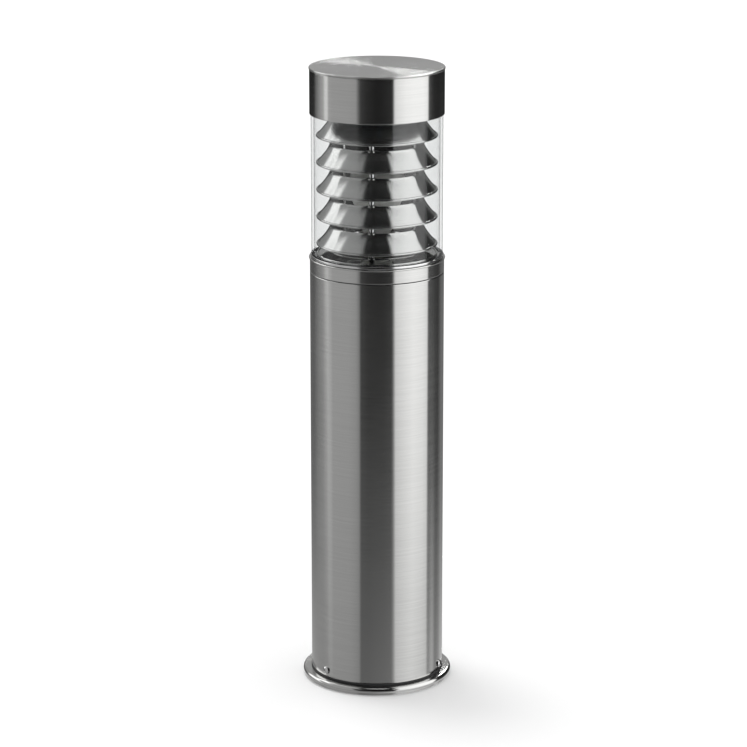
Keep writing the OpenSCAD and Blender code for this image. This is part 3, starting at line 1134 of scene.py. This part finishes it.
@dataclass
class Cap(Assembly):
    """The cap's skirt and the disc that closes it."""

    skirt_in_r: float = 68.6
    skirt_edge: float = 0.5
    disc_t: float = 2.0
    disc_soft: float = 0.9
    spigot_in_r: float = 65.6
    spigot_r: float = 68.5
    disc_finish: BrushedSteel = BrushedSteel((0.62, 0.62, 0.61), roughness=0.18)

    def build(self) -> None:
        """Makes the skirt and the disc."""
        skirt = Span.of("cap_skirt")
        Lathe().solid(
            Corner(self.skirt_in_r, skirt.low),
            Corner(skirt.radius, skirt.low, self.skirt_edge),
            Corner(skirt.radius, skirt.high, 0.15),
            Corner(self.skirt_in_r, skirt.high),
        ).piece("brushed_skirt", Body.HEAD, Slot.COLUMN_STEEL, "cap_skirt")
        disc = Span.of("cap_disc")
        under = disc.high - self.disc_t
        brushed = Lathe().solid(
            Corner(0.0, under),
            Corner(self.spigot_in_r, under),
            Corner(self.spigot_in_r, disc.low),
            Corner(self.spigot_r, disc.low, 0.3),
            Corner(self.spigot_r, under),
            Corner(disc.radius, under, self.disc_soft),
            Corner(disc.radius, disc.high, self.disc_soft),
            Corner(0.0, disc.high),
        ).piece("brushed_disc", Body.HEAD, Slot.COLUMN_STEEL, "cap_disc")
        brushed.data.materials[0] = self.disc_finish.material("finish_disc_steel")


@dataclass
class Lamp(Assembly):
    """The lamp: an opal globe on a moulded neck with a threaded cap."""

    globe_r: float = 30.0
    throat_r: float = 17.0
    belly: tuple[int, ...] = tuple(range(90, -31, -5))

    def build(self) -> None:
        """Makes the globe; the neck and cap keep their exact CAD shape."""
        span = Span.of("lamp_globe")
        centre = span.high - self.globe_r
        angles = [math.radians(a) for a in self.belly]
        ball = [
            Corner(self.globe_r * math.cos(a), centre + self.globe_r * math.sin(a)) for a in angles
        ]
        ball[0] = Corner(0.0, span.high)
        Lathe(steps=96).solid(
            Corner(0.0, span.low),
            Corner(self.throat_r, span.low),
            Corner(self.throat_r, span.low + 5.0, 3.0),
            *reversed(ball),
        ).piece("opal_globe", Body.LAMP, Slot.OPAL_GLASS, "lamp_globe")


class CarriedNodes(Assembly):
    """The CAD nodes that keep their shape and get their slot's finish."""

    def build(self) -> None:
        """Gives each CAD node the finish that its slot names."""
        for name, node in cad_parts.items():
            for holder in node.material_slots:
                slot = Slot(holder.material.name.split(".")[0])
                holder.material = STORE.get(slot)
            if not node.hide_render:
                log.info("%s: the CAD shape, dressed", name)


# ---------- the studio ----------


def radiance(level: float) -> tuple[float, float, float, float]:
    """A neutral panel's colour, scaled to stay between 0 and 1."""
    return (level / RADIANCE_SCALE,) * 3 + (1.0,)


@dataclass
class Studio(Assembly):
    """The pale floor, the soft panels round the object, the key light and the camera."""

    floor_size: float = 30.0
    floor_tone: float = 0.9
    ambient: float = 0.985
    sun_power: float = 0.8
    sun_azimuth: float = -140.0
    sun_height: float = 75.0
    sun_softness: float = 16.0
    lens: float = 148.4
    camera_place: tuple[float, float, float] = (0.0, -3.133, 1.165)
    camera_tilt: float = 14.89
    camera_shift: float = -0.0047
    overhead_lean: float = 0.45
    ceiling_lean: float = 1.0
    to_middle: tuple[float, float] = (-10.2, -13.5)
    to_lower: tuple[float, float] = (-16.0, -22.5)
    to_upper: tuple[float, float] = (-4.0, 7.0)
    to_ceiling: tuple[float, float] = (25.0, 48.0)
    streak: float = 30.0
    streak_heights: tuple[float, ...] = (21.0, 25.0, 36.0, 41.0)
    streak_azimuths: tuple[float, ...] = (168.0, 169.5, 173.0, 174.5)
    rear_depth: tuple[float, float] = (0.05, 0.3)
    rear_heights: tuple[float, float] = (44.0, 54.0)
    rear_width: tuple[float, float] = (0.45, 0.3)
    top_edge: tuple[float, float] = (0.982, 0.993)
    rear_box: float = 1.3
    top_box: float = 1.6
    upper: tuple[tuple[float, float], ...] = (
        (-180, 0.42), (-165, 0.42), (-150, 0.34), (-132, 0.45), (-125, 1.8), (-97, 1.8),
        (-92, 0.46), (-35, 0.4), (-31, 0.03), (0, 0.01), (28, 0.02), (30, 1.3), (70, 1.6),
        (97, 1.5), (101, 0.03), (150, 0.03), (165, 0.34), (180, 0.42),
    )
    level: tuple[tuple[float, float], ...] = (
        (-180, 0.02), (-135, 0.02), (-124, 0.2), (-104, 0.55), (-99, 1.0), (-94, 1.0),
        (-90, 0.46), (-36, 0.43), (-31, 0.07), (-20, 0.03), (0, 0.005), (27, 0.02), (30, 1.2),
        (50, 1.45), (85, 1.5), (96, 1.35), (99, 0.08), (112, 0.02), (180, 0.02),
    )
    middle: tuple[tuple[float, float], ...] = (
        (-180, 0.15), (-140, 0.15), (-108, 0.32), (-98, 0.45), (-93, 0.62), (-87, 0.58),
        (-83, 0.46), (-50, 0.46), (-31, 0.38), (-28, 0.06), (-15, 0.02), (10, 0.01),
        (25, 0.03), (29, 0.25), (32, 0.85), (65, 1.28), (85, 1.18), (96, 1.0), (99, 0.12),
        (130, 0.05), (146, 0.2), (180, 0.2),
    )
    lower: tuple[tuple[float, float], ...] = (
        (-180, 0.55), (-140, 0.5), (-98, 0.3), (-88, 0.37), (-45, 0.34), (-33, 0.3),
        (-28, 0.23), (0, 0.29), (25, 0.33), (30, 0.5), (34, 0.66), (60, 0.73), (95, 0.55),
        (104, 0.48), (112, 0.8), (116, 0.8), (124, 0.42), (140, 0.5), (150, 0.75),
        (180, 0.65),
    )
    ceiling: tuple[tuple[float, float], ...] = (
        (-180, 0.38), (-110, 0.38), (-85, 0.4), (-78, 1.9), (-54, 1.9), (-47, 0.5),
        (-17, 0.42), (-13, 0.03), (0, 0.02), (14, 0.02), (17, 1.2), (40, 1.5), (72, 1.4),
        (78, 0.03), (108, 0.03), (116, 0.38), (180, 0.38),
    )

    def build(self) -> None:
        """Makes the floor, the panels, the key light and the camera."""
        self.build_floor()
        self.build_panels()
        self.build_key()
        self.build_camera()

    def build_floor(self) -> None:
        """Lays the floor, which the steel doesn't mirror: the panels stand for it."""
        sheet = bmesh.new()
        bmesh.ops.create_grid(sheet, x_segments=4, y_segments=4, size=self.floor_size / 2)
        mesh = bpy.data.meshes.new("pale_floor")
        sheet.to_mesh(mesh)
        sheet.free()
        material = bpy.data.materials.new("pale_paper")
        material.use_nodes = True
        graph = Graph(material.node_tree)
        paper = graph.add(
            "ShaderNodeBsdfDiffuse",
            None,
            {"Color": (self.floor_tone,) * 3 + (1.0,), "Roughness": 0.0},
        )
        graph.surface(paper.outputs[0])
        mesh.materials.append(material)
        floor = bpy.data.objects.new("pale_floor", mesh)
        floor.visible_glossy = False
        bpy.context.scene.collection.objects.link(floor)

    def build_panels(self) -> None:
        """Sets what the steel mirrors: rings of panels, a rear, a top and a streak panel."""
        world = bpy.data.worlds.new("soft_studio")
        world.use_nodes = True
        world.cycles.sampling_method = "NONE"
        bpy.context.scene.world = world
        graph = Graph(world.node_tree)
        towards = graph.add("ShaderNodeTexCoord").outputs["Generated"]
        parts = graph.add("ShaderNodeSeparateXYZ", None, {0: towards})
        x, y, z = (graph.value(parts, n) for n in range(3))
        turn = x.math("ARCTAN2", y * -1.0) / math.tau + 0.5
        height = z.math("ARCSINE") * math.degrees(1.0)
        above = z.math("MAXIMUM", 0.0)
        overhead = x.math("ARCTAN2", above * self.overhead_lean - y) / math.tau + 0.5
        zenith = x.math("ARCTAN2", above * self.ceiling_lean - y) / math.tau + 0.5
        level = self.ring(graph, turn, self.level)
        middle = self.ring(graph, turn, self.middle)
        walls = graph.mix(height.ramp(*self.to_middle), level, middle)
        walls = graph.mix(height.ramp(*self.to_lower), walls, self.ring(graph, turn, self.lower))
        upper = self.ring(graph, overhead, self.upper)
        panels = graph.mix(height.ramp(*self.to_upper), walls, upper)
        ceiling = self.ring(graph, zenith, self.ceiling)
        panels = graph.mix(height.ramp(*self.to_ceiling), panels, ceiling)
        rear = y.ramp(*self.rear_depth) * height.ramp(*self.rear_heights)
        rear = rear * x.math("ABSOLUTE").ramp(*self.rear_width)
        panels = graph.mix(rear, panels, radiance(self.rear_box))
        panels = graph.mix(z.ramp(*self.top_edge), panels, radiance(self.top_box))
        spot = turn.window(*(self.place(azimuth) for azimuth in self.streak_azimuths))
        spot = spot * height.window(*self.streak_heights)
        mirrored = graph.mix(spot, panels, radiance(self.streak))
        path = graph.add("ShaderNodeLightPath")
        seen = graph.mix(graph.value(path, "Is Glossy Ray"), radiance(self.ambient), mirrored)
        colour = graph.mix(graph.value(path, "Is Camera Ray"), seen, radiance(1.0))
        glow = graph.add(
            "ShaderNodeBackground", None, {"Color": colour, "Strength": RADIANCE_SCALE}
        )
        graph.add("ShaderNodeOutputWorld", None, {"Surface": glow.outputs[0]})

    @staticmethod
    def place(azimuth: float) -> float:
        """An azimuth's place along a ring of panels, from 0 to 1."""
        return azimuth / 360.0 + 0.5

    def ring(
        self, graph: Graph, turn: Value, bands: Sequence[tuple[float, float]]
    ) -> bpy.types.NodeSocket:
        """One ring of panels round the object.

        Args:
            graph: The world's graph.
            turn: The azimuth as a value from 0 to 1.
            bands: The (azimuth, radiance) pairs from left to right.

        Returns:
            The ring's colour.
        """
        stops = [(self.place(azimuth), radiance(level)) for azimuth, level in bands]
        node = graph.add("ShaderNodeValToRGB", {"stops": stops}, {0: turn})
        return node.outputs[0]

    def build_key(self) -> None:
        """Hangs the soft key light that throws the shadow to the front right."""
        light = bpy.data.lights.new("key_light", "SUN")
        light.energy = self.sun_power
        light.angle = math.radians(self.sun_softness)
        key = bpy.data.objects.new("key_light", light)
        x, y = around(self.sun_azimuth, math.cos(math.radians(self.sun_height)))
        towards = Vector((x, y, math.sin(math.radians(self.sun_height))))
        key.rotation_euler = towards.to_track_quat("Z", "Y").to_euler()
        key.visible_glossy = False
        bpy.context.scene.collection.objects.link(key)

    def build_camera(self) -> None:
        """Sets the camera and a neutral view of its colours."""
        scene = bpy.context.scene
        lens = bpy.data.cameras.new("camera")
        lens.lens = self.lens
        lens.sensor_width = 36.0
        lens.shift_x = self.camera_shift
        camera = bpy.data.objects.new("camera", lens)
        camera.location = self.camera_place
        camera.rotation_euler = (math.radians(90.0 - self.camera_tilt), 0.0, 0.0)
        scene.collection.objects.link(camera)
        scene.camera = camera
        scene.view_settings.view_transform = "Standard"


def main() -> None:
    """Builds every group of pieces, then the studio round them."""
    logging.basicConfig(level=logging.INFO, format="%(name)s: %(message)s")
    groups: list[Assembly] = [
        Base(), Column(), Collar(), ClearChamber(), LouvreStack(), Cap(), Lamp(),
        CarriedNodes(), Studio(),
    ]
    for group in groups:
        group.build()
        log.info("%s is done", type(group).__name__)


if __name__ == "__main__":
    main()
